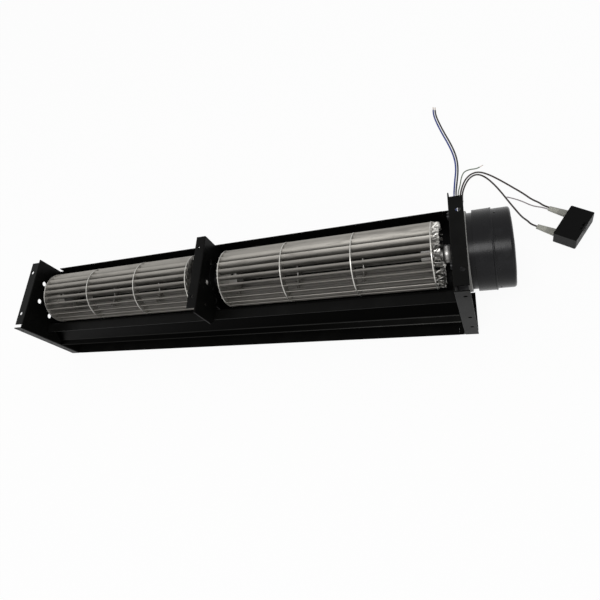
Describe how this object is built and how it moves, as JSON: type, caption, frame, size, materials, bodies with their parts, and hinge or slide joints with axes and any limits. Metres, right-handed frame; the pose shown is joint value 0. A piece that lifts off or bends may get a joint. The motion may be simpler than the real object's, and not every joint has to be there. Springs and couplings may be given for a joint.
{
  "type": "cross flow fan",
  "caption": "Long sheet metal duct with two aluminium blade wheels on one shaft line, a round motor on one end, flanges for fixing, and a run capacitor on leads.",
  "frame": {"origin": "middle of the footprint of the fan without its leads, on the face it lies on", "axes": "+X along the shaft line to the motor, +Y from the outlet to the back, +Z from the back flanges to the inlet"},
  "size_m": [0.6589, 0.303, 0.11],
  "materials": {
    "painted_sheet": "satin black paint",
    "aluminium": "mill finish",
    "steel": "plain steel",
    "black_rubber": "matt",
    "bronze": "sintered bronze, and enamelled copper wire",
    "motor_paint": "gloss black paint",
    "case_plastic": "moulded black",
    "sleeve_plastic": "milky, translucent",
    "blue_pvc": "satin",
    "black_pvc": "satin",
    "brown_pvc": "satin",
    "green_pvc": "satin",
    "pale_pvc": "satin"
  },
  "bodies": {
    "housing": {"left_end_plate": "painted_sheet", "right_end_plate": "painted_sheet", "middle_bracket": "painted_sheet", "scroll_housing": "painted_sheet", "tongue_plate": "painted_sheet", "left_bearing_holder": "steel", "middle_bearing_holder": "steel", "holder_rivets": "steel", "front_motor_bearing": "steel", "rear_motor_bearing": "steel", "motor_screws": "steel", "capacitor_terminals": "steel", "stator_stack": "steel", "left_bearing_seat": "black_rubber", "middle_bearing_seat": "black_rubber", "cable_gland": "black_rubber", "left_bearing_bush": "bronze", "middle_bearing_bush": "bronze", "stator_windings": "bronze", "motor_mounting_ring": "motor_paint", "motor_shell": "motor_paint", "motor_cap": "motor_paint", "capacitor_case": "case_plastic", "lower_terminal_sleeve": "sleeve_plastic", "upper_terminal_sleeve": "sleeve_plastic", "blue_lead": "blue_pvc", "black_lead": "black_pvc", "lower_capacitor_lead": "black_pvc", "upper_capacitor_lead": "brown_pvc", "earth_lead": "green_pvc", "pale_lead": "pale_pvc"},
    "rotor": {"left_wheel_blades": "aluminium", "right_wheel_blades": "aluminium", "left_wheel_ring_1": "aluminium", "left_wheel_ring_2": "aluminium", "right_wheel_ring_1": "aluminium", "right_wheel_ring_2": "aluminium", "left_wheel_left_disc": "aluminium", "left_wheel_right_disc": "aluminium", "right_wheel_left_disc": "aluminium", "right_wheel_right_disc": "aluminium", "left_wheel_left_hub": "steel", "left_wheel_right_hub": "steel", "right_wheel_left_hub": "steel", "hub_set_screws": "steel", "left_stub_shaft": "steel", "middle_shaft": "steel", "motor_shaft": "steel", "coupling_sleeve": "steel", "rotor_core": "steel", "rubber_coupling": "black_rubber"}
  },
  "joints": [
    {"name": "rotor_spin", "type": "hinge", "parent": "housing", "child": "rotor", "pos_m": [-0.01425, 0.0078, 0.07], "axis": [-1, 0, 0], "continuous": true}
  ]
}
